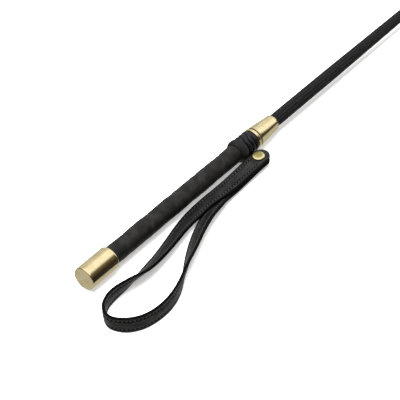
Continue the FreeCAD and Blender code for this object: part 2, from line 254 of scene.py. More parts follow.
def skin(name, *patches, sharp=38):
    """One closed mesh over patches.  A patch is a grid of points, rows by columns by XYZ, with a
    grid of pattern places (along, across) and a grid of wear and painted light, 0 to 1.  Four
    neighbours make a quad, and points that meet are merged, which closes seams and poles."""
    points, quads, places, wear_and_painted_light_grids, first = [], [], [], [], 0
    for grid, place, wear_and_painted_light in patches:
        rows, columns = grid.shape[-3:-1]
        number = first + np.arange(grid.size // 3).reshape(-1, rows, columns)
        quads.append(np.stack([number[:, :-1, :-1], number[:, 1:, :-1],
                               number[:, 1:, 1:], number[:, :-1, 1:]], -1).reshape(-1, 4))
        points.append(grid.reshape(-1, 3))
        places.append(np.broadcast_to(place, grid.shape[:-1] + (2,)).reshape(-1, 2))
        wear_and_painted_light_grids.append(np.broadcast_to(wear_and_painted_light, grid.shape[:-1]).ravel())
        first += grid.size // 3
    quads = np.concatenate(quads)
    mesh = bpy.data.meshes.new(name)
    mesh.from_pydata(np.concatenate(points).tolist(), [], quads.tolist())
    pattern = mesh.uv_layers.new(name="pattern")
    pattern.data.foreach_set("uv", np.concatenate(places)[quads.ravel()].ravel().astype(np.float32))
    wear_and_painted_light_mark = mesh.attributes.new("wear_and_painted_light", "FLOAT", "POINT")
    wear_and_painted_light_mark.data.foreach_set("value", np.concatenate(wear_and_painted_light_grids).astype(np.float32))
    shape = bmesh.new()
    shape.from_mesh(mesh)
    bmesh.ops.remove_doubles(shape, verts=shape.verts, dist=1e-7)
    bmesh.ops.recalc_face_normals(shape, faces=shape.faces)
    shape.to_mesh(mesh)
    shape.free()
    mesh.shade_smooth()
    mesh.set_sharp_from_angle(angle=math.radians(sharp))
    piece = bpy.data.objects.new(name, mesh)
    bpy.context.scene.collection.objects.link(piece)
    return piece


def eased(corners, steps=6):
    """A profile with eased corners.  Each corner is (along, radius, reach): a parabola leaves one
    side `reach` before the corner and joins the next side as far after it.  Straight stretches
    get a point near each end, so that shading stays flat along them."""
    corners = np.array(corners, float)
    turn = np.linspace(0, 1, steps + 1)[:, None]
    line = [corners[:1, :2]]
    for before, corner, after in zip(corners, corners[1:], corners[2:]):
        here = corner[:2]
        start, end = (here + (side[:2] - here) * corner[2] / np.linalg.norm(side[:2] - here)
                      for side in (before, after))
        line.append((1 - turn) ** 2 * start + 2 * turn * (1 - turn) * here + turn ** 2 * end)
    line.append(corners[-1:, :2])
    line = np.concatenate(line)
    split = np.array([0, 0.04, 0.5, 0.96])[:, None]
    fine = line[:-1, None] + split * (line[1:] - line[:-1])[:, None]
    long_run = np.linalg.norm(line[1:] - line[:-1], axis=1) > 1.0 * mm
    keep = long_run[:, None] | (split[:, 0] == 0)
    return np.concatenate([fine[keep], line[-1:]])


def turned(profile, around=128, wear_and_painted_light=0.0):
    """A lathe form about the handle's axis: each profile point (along, radius) becomes a ring."""
    along, radius = np.array(profile, float).T[:, :, None]
    angle = np.linspace(0, 2 * np.pi, around + 1)
    ring = np.broadcast_arrays(along, -radius * np.cos(angle), radius * np.sin(angle))
    place = np.broadcast_arrays(along, radius.max() * angle)
    return np.stack(ring, -1), np.stack(place, -1), wear_and_painted_light


def brass(name, stain_and_shade_colour=(0.10, 0.075, 0.035, 1), stretch=(1, 0.05, 0.05)):
    """Satin brass: fine lathe marks, slow clouds of tarnish that dull it a little, and a stain
    where the wear attribute says so, which in the ferrule's groove is painted shade."""
    gold, dull = (0.83, 0.72, 0.44, 1), (0.66, 0.55, 0.29, 1)
    finish = Finish(name, {"Metallic": 1.0, "Specular IOR Level": 0.5})
    clouds = finish.noise(finish.spot(), 9 * mm, 4.0).step(0.35, 0.75)
    marks = finish.noise(finish.spot(stretch=stretch), 0.12 * mm, 2.0)
    specks = finish.noise(finish.spot(), 0.6 * mm, 3.0).step(0.58, 0.75)
    # The wear attribute's dark colour is a real stain on the rivet and painted shade in the
    # ferrule's groove.
    stain_and_groove_shade = finish.add("ShaderNodeAttribute", {"attribute_name": "wear_and_painted_light"}).out("Fac")
    metal = finish.mix(0.7 * clouds + 0.3 * specks, gold, dull)
    finish.colour(finish.mix(stain_and_groove_shade, metal, stain_and_shade_colour))
    finish.roughness(0.13 + 0.04 * clouds + 0.06 * marks + 0.05 * specks + 0.3 * stain_and_groove_shade)
    finish.relief((marks, 0.002 * mm), (specks, 0.003 * mm))
    return finish.material


cap_low, cap_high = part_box("butt_cap")
cap_radius, cap_bore, cap_floor, end_dome = cap_high.z, 8.3 * mm, 2.0 * mm, 0.25 * mm
cap = skin("butt_cap_brass", turned(eased([
    (cap_low.x, 0, 0),
    (cap_low.x + end_dome, 0.86 * cap_radius, 1.0 * mm),
    (cap_low.x + 1.6 * end_dome, cap_radius, 1.5 * mm),
    (cap_high.x, cap_radius, 1.2 * mm),
    (cap_high.x, cap_bore, 0.3 * mm),
    (cap_floor, cap_bore, 0.5 * mm),
    (cap_floor, 0, 0)])))
cap_brass = brass("satin_brass")
cap.data.materials.append(cap_brass)
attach(cap, "root")
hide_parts("butt_cap")


# ---- grip ----
# One long strip of matt black leather, wound in a spiral over the tapered former with each turn
# lapped over the last, so the grip swells softly between the laps and dips at every edge.
def leather(name, black, grey, rough, grain=0.9 * mm, depth=0.05 * mm, shine=0.45):
    """Black leather: pebbled grain with fine creases, cloudy tone, and paler, smoother wear, which
    on the grip's lap edges is also painted sheen.
    """
    finish = Finish(name, {"Specular IOR Level": shine})
    where = finish.spot()
    pebbles = finish.cells(where, grain, "SMOOTH_F1")
    creases = finish.noise(where, 0.35 * mm, 5.0, 0.62)
    clouds = finish.noise(where, 7 * mm, 3.0).step(0.36, 0.68)
    wear_and_painted_light_mark = finish.add("ShaderNodeAttribute", {"attribute_name": "wear_and_painted_light"}).out("Fac")
    tone = 0.45 * clouds + 0.25 * creases + 0.5 * wear_and_painted_light_mark
    finish.colour(finish.mix(tone, black, grey))
    finish.roughness(rough + 0.1 * creases - 0.12 * wear_and_painted_light_mark - 0.06 * clouds)
    finish.relief((pebbles, depth), (creases, 0.5 * depth))
    return finish.material


wrap_low, wrap_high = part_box("grip_wrap")
wrap_pitch, wrap_first_lap, wrap_lap_angle = 29.6 * mm, 83.0 * mm, math.radians(146)
lap_swell, lap_lip, lap_ripple, grip_taper = 0.46 * mm, 0.42 * mm, 0.09 * mm, 0.25 * mm
grip_rows, grip_columns, under_collar = 420, 145, 1.5 * mm
grip_along = np.linspace(wrap_low.x, wrap_high.x + under_collar, grip_rows)[:, None]
grip_angle = np.linspace(0, 2 * np.pi, grip_columns)
turns = (grip_along - wrap_first_lap) / wrap_pitch - (grip_angle - wrap_lap_angle) / (2 * np.pi)
lap = turns - np.floor(turns)
swell = np.sin(np.pi * lap) ** 0.6 * lap_swell
lip = np.exp(-lap / 0.11) * (1 - np.exp(-lap / 0.012)) * lap_lip
fine_ripple = np.sin(grip_along / (3.7 * mm) + 3 * grip_angle) * np.sin(2 * grip_angle + 9 * turns)
slow_ripple = np.sin(grip_along / (5.9 * mm) - 2 * grip_angle + 1.3)
ripple = lap_ripple * (fine_ripple + slow_ripple)
grip_radius = wrap_high.z - 0.42 * mm + swell + lip + ripple
grip_radius = grip_radius - grip_taper * np.clip((grip_along - 60 * mm) / (120 * mm), 0, 1)
grip_grid = np.stack(np.broadcast_arrays(
    grip_along, -grip_radius * np.cos(grip_angle), grip_radius * np.sin(grip_angle)), -1)
grip_place = np.stack(np.broadcast_arrays(grip_along, grip_angle * wrap_high.z), -1)
grip_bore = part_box("grip_former")[1].z + 0.05 * mm
bore_grid = grip_grid * (1, 0, 0) + np.stack(np.broadcast_arrays(
    0 * grip_along, -grip_bore * np.cos(grip_angle), grip_bore * np.sin(grip_angle)), -1)
grip_shell = np.concatenate([grip_grid, bore_grid[[-1, 0]], grip_grid[:1]])
shell_place = np.concatenate([grip_place, grip_place[[-1, 0]], grip_place[:1]])
# Paler, smoother leather just past each lap edge: rubbed wear, and painted sheen where the laps
# catch the light.
lap_wear_and_sheen = 0.6 * np.exp(-lap / 0.14)
shell_wear_and_sheen = np.concatenate([lap_wear_and_sheen, 0 * lap_wear_and_sheen[:2], lap_wear_and_sheen[:1]])
grip = skin("grip_leather_wrap", (grip_shell, shell_place, shell_wear_and_sheen))
grip_leather = leather("grip_leather", (0.001, 0.001, 0.001, 1), (0.013, 0.0126, 0.0122, 1), 0.60,
                       shine=0.36)
grip.data.materials.append(grip_leather)
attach(grip, "root")
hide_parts("grip_wrap")


# ---- neck collar ----
# The end of the wrap, rolled back on itself into a fat collar of the same leather, with the
# small puckers that a tight roll leaves.
collar_low, collar_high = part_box("neck_collar")
collar_top, neck_radius = collar_high.z, 7.1 * mm
collar_start, collar_end = collar_low.x, collar_high.x
collar_profile = eased([
    (collar_start - 0.3 * mm, neck_radius, 0),
    (collar_start - 0.3 * mm, 8.5 * mm, 0.5 * mm),
    (collar_start + 1.6 * mm, collar_top - 0.1 * mm, 1.2 * mm),
    (collar_start + 4.4 * mm, collar_top + 0.12 * mm, 1.2 * mm),
    (collar_end - 1.6 * mm, collar_top - 0.30 * mm, 1.0 * mm),
    (collar_end - 0.1 * mm, 8.4 * mm, 0.5 * mm),
    (collar_end - 0.1 * mm, neck_radius, 0.2 * mm),
    (collar_start - 0.3 * mm, neck_radius, 0)])
collar_grid, collar_place, _ = turned(collar_profile)
collar_angle = np.arctan2(collar_grid[..., 2], collar_grid[..., 1])
pucker = 1 + 0.006 * np.sin(7 * collar_angle + 0.6) * np.sin(collar_grid[..., 0] / (1.9 * mm))
collar_grid[..., 1:] *= pucker[..., None]
collar = skin("neck_collar_leather", (collar_grid, collar_place, 0.0))
collar.data.materials.append(grip_leather)
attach(collar, "root")
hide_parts("neck_collar")


# ---- lace binding ----
# A waxed leather lace wound three times round the neck, over a thin underlay, with its two ends
# tucked under the turns on the side away from the strap.
def tube(path, radius, around=24, wear_and_painted_light=0.0, flatten=1.0):
    """A round cord along a path of points, closed at both ends.  Its rings stand square to the
    path, and `flatten` presses them towards the handle's axis."""
    tangent = np.gradient(path, axis=0)
    tangent /= np.linalg.norm(tangent, axis=1, keepdims=True)
    outward = path * (0, 1, 1)
    outward -= tangent * np.sum(outward * tangent, axis=1, keepdims=True)
    outward /= np.linalg.norm(outward, axis=1, keepdims=True)
    side = np.cross(tangent, outward)
    length = np.concatenate([[0], np.cumsum(np.linalg.norm(np.diff(path, axis=0), axis=1))])
    path = np.concatenate([path[:1], path, path[-1:]])
    side, outward = (np.concatenate([rows[:1], rows, rows[-1:]]) for rows in (side, outward))
    length = np.concatenate([length[:1], length, length[-1:]])
    fat = np.full(len(path), radius)
    fat[[0, -1]] = 0
    angle = np.linspace(0, 2 * np.pi, around + 1)
    angle_sine, angle_cosine = np.sin(angle)[:, None], np.cos(angle)[:, None]
    ring = side[:, None] * angle_cosine + flatten * outward[:, None] * angle_sine
    grid = path[:, None] + ring * fat[:, None, None]
    place = np.stack(np.broadcast_arrays(length[:, None], angle * radius), -1)
    return grid, place, wear_and_painted_light


lace_low, lace_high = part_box("neck_binding")
lace_turns, lace_half, lace_press = 3, 1.96 * mm, 0.8
lace_gap, lace_tail, lace_lay = 0.5 * mm, 0.1, 2.2
lace_step = (lace_high.x - lace_low.x - lace_gap - 2 * lace_half) / (lace_turns - 1)
lace_angle = np.linspace(-lace_tail, 2 * np.pi * lace_turns + lace_tail, 300)
lace_turn = np.clip(lace_angle / (2 * np.pi), 0, lace_turns)
settle = np.clip((lace_turn - np.floor(lace_turn) - 0.82) / 0.18, 0, 1)
lace_along = lace_low.x + lace_gap + lace_half + lace_step * np.minimum(
    np.floor(lace_turn) + settle ** 2 * (3 - 2 * settle), lace_turns - 1)
lace_ends = np.minimum(lace_angle + lace_tail, 2 * np.pi * lace_turns + lace_tail - lace_angle)
lace_path_radius = lace_high.z - lace_press * lace_half - 1.3 * mm * np.exp(-lace_ends / 0.12)
lace_path = np.stack([lace_along, -lace_path_radius * np.cos(lace_angle + lace_lay),
                      lace_path_radius * np.sin(lace_angle + lace_lay)], -1)
under_low, under_high, under_radius = lace_low.x - 0.6 * mm, lace_high.x + 0.2 * mm, 7.6 * mm
underlay = turned(eased([
    (under_low, neck_radius, 0), (under_low, under_radius, 0.3 * mm),
    (under_high, under_radius, 0.3 * mm), (under_high, neck_radius, 0.1 * mm),
    (under_low, neck_radius, 0)]))
lace = skin("neck_lace", tube(lace_path, lace_half, wear_and_painted_light=0.2, flatten=lace_press), underlay)
lace_leather = leather("waxed_lace", (0.001, 0.001, 0.002, 1), (0.005, 0.005, 0.008, 1), 0.38,
                       grain=0.5 * mm, depth=0.03 * mm, shine=0.34)
lace.data.materials.append(lace_leather)
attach(lace, "root")
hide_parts("neck_binding")


# ---- ferrule ----
# A turned brass ferrule that closes the neck: a bead, a narrow groove, and a barrel that tapers
# in a slight curve down to a thin lip on the shaft.
ferrule_low, ferrule_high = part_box("ferrule")
bead_radius, bead_end = ferrule_high.z, ferrule_low.x + 3.0 * mm
groove_radius, groove_end = 8.3 * mm, bead_end + 1.0 * mm
barrel_radius, mouth_radius, ferrule_bore = 8.85 * mm, 6.85 * mm, 5.75 * mm
seat_radius, lip_start, mouth_start = 7.05 * mm, ferrule_high.x - 0.7 * mm, ferrule_high.x - 8 * mm
fall = np.linspace(0, 1, 24)
barrel = np.stack([groove_end + fall * (lip_start - groove_end),
                   barrel_radius - (barrel_radius - mouth_radius) * fall ** 1.4], -1)
ferrule_profile = np.concatenate([
    eased([(ferrule_low.x, seat_radius, 0), (ferrule_low.x, bead_radius, 0.9 * mm),
           (bead_end, bead_radius, 1.0 * mm), (bead_end, groove_radius, 0.15 * mm),
           (groove_end, groove_radius, 0.15 * mm), (groove_end, barrel_radius - 0.1 * mm, 0)]),
    barrel,
    eased([(lip_start, mouth_radius + 0.12 * mm, 0),
           (ferrule_high.x, mouth_radius + 0.12 * mm, 0.3 * mm),
           (ferrule_high.x, ferrule_bore, 0.3 * mm), (mouth_start, ferrule_bore, 0.1 * mm),
           (mouth_start, seat_radius, 0.1 * mm), (ferrule_low.x, seat_radius, 0)])])
groove_middle, groove_reach = (bead_end + groove_end) / 2, 0.55 * mm
# Painted shade: the ferrule's groove is coloured dark brown through the wear attribute, for the
# shade in the recess between bead and barrel.
groove_shade = np.exp(-((ferrule_profile[:, :1] - groove_middle) / groove_reach) ** 4)
ferrule = skin("ferrule_brass", turned(ferrule_profile, wear_and_painted_light=groove_shade))
ferrule.data.materials.append(cap_brass)
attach(ferrule, "root")
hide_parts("ferrule")


# ---- shaft ----
# Waxed black thread plaited over thirteen lengthwise cords, which show as ribs, on a tapering
# fibre core.
braid_low, braid_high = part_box("shaft_braid")
ribs, strands, rib_turn = 13, 13, math.radians(59.8)
rib_depth, plait_depth, plait_step = 0.70 * mm, 0.26 * mm, 1.5 * mm
shaft_middle, middle_radius, shaft_tip_radius = 310 * mm, 5.45 * mm, 3.0 * mm
shaft_rows, cuts_per_rib = 1240, 6
shaft_along = np.linspace(braid_low.x, braid_high.x, shaft_rows)[:, None]
shaft_angle = np.linspace(0, 2 * np.pi, ribs * cuts_per_rib + 1)
shaft_radius = np.interp(shaft_along, [braid_low.x, shaft_middle, braid_high.x],
                         [braid_high.z, middle_radius, shaft_tip_radius])
forward = shaft_along / plait_step + shaft_angle * strands / (2 * np.pi)
backward = shaft_along / plait_step - shaft_angle * strands / (2 * np.pi)
over = np.sin(np.pi * forward) ** 2 * (np.sin(np.pi * backward) > 0)
under = np.sin(np.pi * backward) ** 2 * (np.sin(np.pi * backward) <= 0)
rib = np.abs(np.cos((shaft_angle - rib_turn) * ribs / 2)) ** 0.6
slim = shaft_radius / braid_high.z
braid_radius = shaft_radius + slim * (rib_depth * (rib - 0.88) + plait_depth * (over + under - 0.4))
braid_grid = np.stack(np.broadcast_arrays(
    shaft_along, -braid_radius * np.cos(shaft_angle), braid_radius * np.sin(shaft_angle)), -1)
braid_place = np.stack(np.broadcast_arrays(shaft_along, shaft_angle * 5.5 * mm), -1)
braid_ends = braid_grid * (1, 0, 0)
braid_grid = np.concatenate([braid_ends[:1], braid_grid, braid_ends[-1:]])
braid_place = np.concatenate([braid_place[:1], braid_place, braid_place[-1:]])
# Painted sheen and shade: the thread is coloured paler on the raised strand tops and near black in
# the valleys between ribs and strands.
plait_sheen_and_shade = rib * (over + under)
braid_sheen_and_shade = np.concatenate([0 * plait_sheen_and_shade[:1], plait_sheen_and_shade, 0 * plait_sheen_and_shade[:1]])
braid = skin("shaft_braid_thread", (braid_grid, braid_place, braid_sheen_and_shade), sharp=180)
thread = Finish("waxed_thread", {"Specular IOR Level": 0.22})
filaments = thread.noise(thread.spot("UV"), 0.22 * mm, 3.0)
thread_sheen_and_shade = thread.add("ShaderNodeAttribute", {"attribute_name": "wear_and_painted_light"}).out("Fac")
knots = thread.noise(thread.spot("UV"), 1.4 * mm, 2.0, 0.6).step(0.36, 0.64)
# Tone follows the wear attribute: painted sheen on the braid's strand tops, painted shade in its
# valleys.
thread.colour(thread.mix(thread_sheen_and_shade * (0.2 + 1.2 * knots) + 0.25 * filaments - 0.1,
                         (0.0002, 0.0002, 0.0002, 1), (0.016, 0.016, 0.017, 1)))
thread.roughness(0.52 - 0.16 * thread_sheen_and_shade + 0.14 * filaments)
thread.relief((filaments, 0.10 * mm), (knots, 0.22 * mm))
braid.data.materials.append(thread.material)
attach(braid, "root")
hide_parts("shaft_braid")


# ---- wrist strap ----
# Two strips of black leather stitched face to face along both edges, with painted edges.  It
# leaves the rivet flat, turns up on edge round the loop, and comes back under its other end.
strap_edge = np.array([
    (0.1975, -0.0104, 0.0085, 0), (0.1890, -0.0105, 0.0085, 0), (0.1820, -0.0108, 0.0085, 0),
    (0.1710, -0.0109, 0.0075, 2), (0.1580, -0.0107, 0.0060, 5), (0.1430, -0.0101, 0.0048, 10),
    (0.1290, -0.0096, 0.0041, 15), (0.1160, -0.0093, 0.0026, 16), (0.1050, -0.0099, 0.0016, 19),
    (0.0920, -0.0124, 0.00125, 26), (0.0770, -0.0160, 0.0012, 31), (0.0610, -0.0194, 0.00115, 36),
    (0.0470, -0.0215, 0.0011, 40), (0.0345, -0.0234, 0.0009, 50), (0.0210, -0.0252, 0.0005, 72),
    (0.0050, -0.0262, 0.0001, 88), (-0.0065, -0.0288, 0, 92), (-0.0150, -0.0350, 0, 95),
    (-0.0183, -0.0440, 0, 95), (-0.0138, -0.0548, 0, 88), (-0.0035, -0.0622, 0, 88),
    (0.0100, -0.0656, 0, 88), (0.0260, -0.0655, 0, 86), (0.0420, -0.0605, 0, 90),
    (0.0560, -0.0524, 0.0002, 100), (0.0690, -0.0434, 0.0006, 118), (0.0815, -0.0358, 0.0009, 130),
    (0.0935, -0.0297, 0.0010, 136), (0.1050, -0.0249, 0.00105, 140), (0.1165, -0.0206, 0.0011, 145),
    (0.1295, -0.0168, 0.00115, 153), (0.1430, -0.0129, 0.0012, 165), (0.1580, -0.0115, 0.0020, 174),
    (0.1710, -0.0110, 0.0036, 179), (0.1820, -0.0108, 0.0045, 180), (0.1890, -0.0105, 0.0045, 180),
    (0.1975, -0.0104, 0.0045, 180)])
strap_half, layer_thick, table_level = 7.1 * mm, 1.2 * mm, -10 * mm


def through(points, fine):
    """A Catmull-Rom curve through points, `fine` places to a span, with its end points repeated."""
    padded = np.concatenate([points[:1], points, points[-1:]])[:, None]
    a, b, c, d = padded[:-3], padded[1:-2], padded[2:-1], padded[3:]
    t = (np.arange(fine) / fine)[:, None]
    curve = 0.5 * (2 * b + (c - a) * t + (2 * a - 5 * b + 4 * c - d) * t ** 2
                   + (3 * b - a - 3 * c + d) * t ** 3)
    return np.concatenate([curve.reshape(-1, points.shape[1]), points[-1:]])


def unit(vectors):
    return vectors / np.linalg.norm(vectors, axis=-1, keepdims=True)


route = through(strap_edge, 12)
route_edge = route[:, :3] + (0, 0, table_level)
ahead = unit(np.concatenate([route_edge[1:], route_edge[-1:]])
             - np.concatenate([route_edge[:1], route_edge[:-1]]))
level = unit(np.stack([-ahead[:, 1], ahead[:, 0], 0 * ahead[:, 0]], -1))
lean = np.radians(route[:, 3:])
across = level * np.cos(lean) + np.array([0, 0, 1]) * np.sin(lean)
grain = unit(np.cross(ahead, across))
middle = route_edge + across * strap_half

tip = np.sin(np.linspace(np.pi / 2, 0, 15)[:-1])[:, None]
start_cap = middle[:1] - ahead[:1] * tip * strap_half
end_cap = middle[-1:] + ahead[-1:] * tip[::-1] * strap_half
middle = np.concatenate([start_cap, middle, end_cap])
ahead, across, grain = (np.concatenate([np.repeat(rows[:1], len(tip), 0), rows,
                                        np.repeat(rows[-1:], len(tip), 0)])
                        for rows in (ahead, across, grain))
strap_run = np.concatenate([[0], np.cumsum(np.linalg.norm(np.diff(middle, axis=0), axis=1))])
half_width = np.full((len(middle), 1), strap_half)
half_width[:len(tip)] = strap_half * np.sqrt(1 - tip ** 2)
half_width[-len(tip):] = strap_half * np.sqrt(1 - tip[::-1] ** 2)
from_end = np.minimum(strap_run, strap_run[-1] - strap_run)[:, None]

stitch_inset, sewn_groove, sewn_crown, sewn_start = 2.9 * mm, 0.38 * mm, 0.26 * mm, 15 * mm
width_places = strap_half * np.concatenate([
    [-1, -0.995, -0.98, -0.95, -0.91, -0.86, -0.80], np.linspace(-0.75, -0.50, 9),
    np.linspace(-0.44, 0.44, 11), np.linspace(0.50, 0.75, 9),
    [0.80, 0.86, 0.91, 0.95, 0.98, 0.995, 1]])


def strap_height(place):
    """The strap's half thickness across its width: eased at the edges, pressed in under the
    stitch rows, and faintly crowned between them."""
    from_edge = strap_half - np.abs(place)
    ease = np.clip(1 - from_edge / (0.55 * mm), 0, 1)
    groove = np.exp(-((from_edge - stitch_inset) / (0.6 * mm)) ** 2)
    crown = 1 - (place / (strap_half - stitch_inset)) ** 2
    sewn = np.clip((from_end - sewn_start) / (5 * mm), 0, 1)
    return (layer_thick - 0.42 * mm * (1 - np.sqrt(1 - ease ** 2)) - sewn * sewn_groove * groove
            + sewn * sewn_crown * np.clip(crown, 0, 1))


def slab(upper, lower, place, wear_and_painted_light):
    """A thin layer between two grids of points, closed round its edges and at both ends."""
    middle_line = (upper + lower) / 2

    def hoop(first, second):
        return np.concatenate([first, second[:, ::-1], first[:, :1]], 1)

    grid = np.concatenate([hoop(middle_line, middle_line)[:1], hoop(upper, lower),
                           hoop(middle_line, middle_line)[-1:]])
    place, wear_and_painted_light = (np.concatenate([looped[:1], looped, looped[-1:]])
                   for looped in (hoop(place, place), hoop(wear_and_painted_light[..., None], wear_and_painted_light[..., None])))
    return grid, place, wear_and_painted_light[..., 0]


spread = half_width * width_places / strap_half
strap_place = np.stack(np.broadcast_arrays(strap_run[:, None], spread), -1)
sheet_middle = middle[:, None] + across[:, None] * spread[..., None]
from_side = strap_half - np.abs(width_places)
painted = np.clip(1.5 - from_side / (0.6 * mm), 0, 1)
# Painted shade: the stitch grooves are coloured near black, like the edge paint, for the shade in
# the pressed-in rows.
stitch_groove_shade = np.exp(-((from_side - stitch_inset) / (0.85 * mm)) ** 4)
stitch_groove_shade = stitch_groove_shade * np.clip((from_end - sewn_start) / (3 * mm), 0, 1)
edge_paint_and_groove_shade_grid = np.maximum(painted, stitch_groove_shade)
crease = 0.05 * mm * np.sin(strap_run[:, None] / (7.3 * mm) + spread / (2.1 * mm))
height = strap_height(width_places)
face_upper = sheet_middle + grain[:, None] * (height + 0.5 * crease)[..., None]
face_lower = sheet_middle + grain[:, None] * 0.03 * mm
lining_lower = sheet_middle - grain[:, None] * (height - 0.5 * crease)[..., None]
lining_upper = sheet_middle - grain[:, None] * 0.03 * mm

strap_leather = Finish("strap_leather", {
    "Specular IOR Level": 0.06, "Coat Roughness": 0.48, "Coat IOR": 1.5})
where = strap_leather.spot()
pores = strap_leather.cells(where, 0.55 * mm, "SMOOTH_F1")
creases = strap_leather.noise(where, 0.3 * mm, 5.0, 0.6)
clouds = strap_leather.noise(where, 5 * mm, 3.0).step(0.3, 0.75)
along_strap = strap_leather.spot("UV", (0.05, 1, 1))
fibres = strap_leather.noise(along_strap, 0.9 * mm, 3.0, 0.6).step(0.36, 0.64)
edge_paint_and_groove_shade = strap_leather.add("ShaderNodeAttribute", {"attribute_name": "wear_and_painted_light"}).out("Fac")
face_tone = strap_leather.mix(0.5 * clouds + 0.3 * creases, (0.002, 0.002, 0.002, 1),
                              (0.007, 0.007, 0.007, 1))
# Near black where the wear attribute is high: real edge paint at the edges, painted shade in the
# stitch grooves.
strap_leather.colour(strap_leather.mix(edge_paint_and_groove_shade, face_tone, (0.001, 0.001, 0.001, 1)))
strap_leather.feed(strap_leather.shader.inputs["Coat Weight"],
                   (1 - edge_paint_and_groove_shade) * (0.14 + 0.3 * clouds + 0.7 * fibres))
strap_leather.roughness(0.40 + 0.08 * creases - 0.05 * clouds + 0.16 * edge_paint_and_groove_shade)
strap_leather.relief((pores, 0.03 * mm), (creases, 0.02 * mm))

strap_face = skin("wrist_strap_face", slab(face_upper, face_lower, strap_place, edge_paint_and_groove_shade_grid))
strap_face.data.materials.append(strap_leather.material)
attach(strap_face, "wrist_strap")
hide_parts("strap_face")
strap_lining = skin("wrist_strap_lining", slab(lining_lower, lining_upper, strap_place, edge_paint_and_groove_shade_grid))
strap_lining.data.materials.append(strap_leather.material)
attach(strap_lining, "wrist_strap")
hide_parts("strap_lining")


# ---- strap stitching ----
# Waxed thread in two rows on each side of the strap, each stitch sunk at its ends and a little
# slanted, as a saddle stitch lies.
def stitches(centre, forward, sideways, up, length, thick, slant=0.10):
    """Short threads at centres, one a row: a round section that closes at both ends, bowed up
    in the middle and slanted across the seam."""
    a = np.linspace(-1, 1, 7)[:, None, None]
    b = np.linspace(0, 2 * np.pi, 9)[:, None]
    fat = thick / 2 * np.sqrt(1 - a ** 4)
    centre, forward, sideways, up = (
        rows[:, None, None] for rows in (centre, forward, sideways, up))
    grid = (centre + forward * a * length / 2
            + sideways * (fat * np.cos(b) + slant * length * a / 2)
            + up * (fat * np.sin(b) - thick * 0.55 * a ** 2))
    place = np.stack(np.broadcast_arrays(a[..., 0] * length, b[:, 0] * thick), -1)
    return grid, place, 0.5


def on_strap(run, rows):
    """Rows of vectors along the strap, read off at lengths along it."""
    return np.stack([np.interp(run, strap_run, rows[:, axis]) for axis in range(3)], -1)


stitch_step, stitch_length, thread_thick = 3.1 * mm, 2.1 * mm, 0.6 * mm
first_stitch, thread_lift = 17 * mm, 0.16 * mm
sewn_run = np.arange(first_stitch, strap_run[-1] - first_stitch, stitch_step)
seam_height = layer_thick - sewn_groove + thread_lift
rows_of_thread = []
for row_side in (-1, 1):
    for face_side in (-1, 1):
        up = on_strap(sewn_run, grain) * face_side
        sideways = unit(on_strap(sewn_run, across))
        centre = (on_strap(sewn_run, middle) + sideways * row_side * (strap_half - stitch_inset)
                  + up * seam_height)
        rows_of_thread.append(stitches(centre, unit(on_strap(sewn_run, ahead)), sideways, unit(up),
                                       stitch_length, thread_thick))
strap_thread = skin("wrist_strap_stitching", *rows_of_thread)
# Painted sheen: the stitch thread's grey, far paler than the black strap, stands in for the shine
# on its round strands.
sheen_painted_thread = Finish("strap_thread", {"Specular IOR Level": 0.5})
strand = sheen_painted_thread.noise(sheen_painted_thread.spot("UV"), 0.25 * mm, 3.0)
sheen_painted_thread.colour(sheen_painted_thread.mix(strand, (0.020, 0.020, 0.022, 1), (0.090, 0.090, 0.096, 1)))
sheen_painted_thread.roughness(0.45 + 0.2 * strand)
sheen_painted_thread.relief((strand, 0.08 * mm))
strap_thread.data.materials.append(sheen_painted_thread.material)
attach(strap_thread, "wrist_strap")


# ---- hanger tab ----
# A short leather tab, bound under the lace at one end and held between the strap's two ends by
# the rivet at the other.
rivet_low, rivet_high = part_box("rivet_cap")
rivet_at = (rivet_low + rivet_high) / 2
tab_low, tab_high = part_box("hanger_tab")
root_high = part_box("tab_root")[1]
tab_half, tab_level = (tab_high.x - tab_low.x) / 2, (tab_low.z + tab_high.z) / 2
tab_thick = (tab_high.z - tab_low.z) / 2
tab_run = np.concatenate([np.linspace(root_high.y, rivet_at.y, 40),
                          rivet_at.y - tab_half * np.sin(np.linspace(0, np.pi / 2, 14))[1:]])
tab_width = tab_half * np.sqrt(1 - np.clip((rivet_at.y - tab_run) / tab_half, 0, 1) ** 2)
tab_across = np.array([-1, -0.97, -0.9, -0.7, -0.4, 0, 0.4, 0.7, 0.9, 0.97, 1])
tab_x = rivet_at.x + tab_width[:, None] * tab_across
tab_y = np.broadcast_to(tab_run[:, None], tab_x.shape)
tab_rise = tab_thick * (1 - 0.25 * np.broadcast_to(tab_across ** 8, tab_x.shape))
tab_upper = np.stack([tab_x, tab_y, tab_level + tab_rise], -1)
tab_lower = np.stack([tab_x, tab_y, tab_level - tab_rise], -1)
tab_wear = np.broadcast_to(tab_across ** 8, tab_x.shape)
tab = skin("hanger_tab_leather", slab(tab_upper, tab_lower, tab_upper[..., :2], tab_wear))
tab.data.materials.append(strap_leather.material)
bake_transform(tab)
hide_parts("tab_root", "hanger_tab")


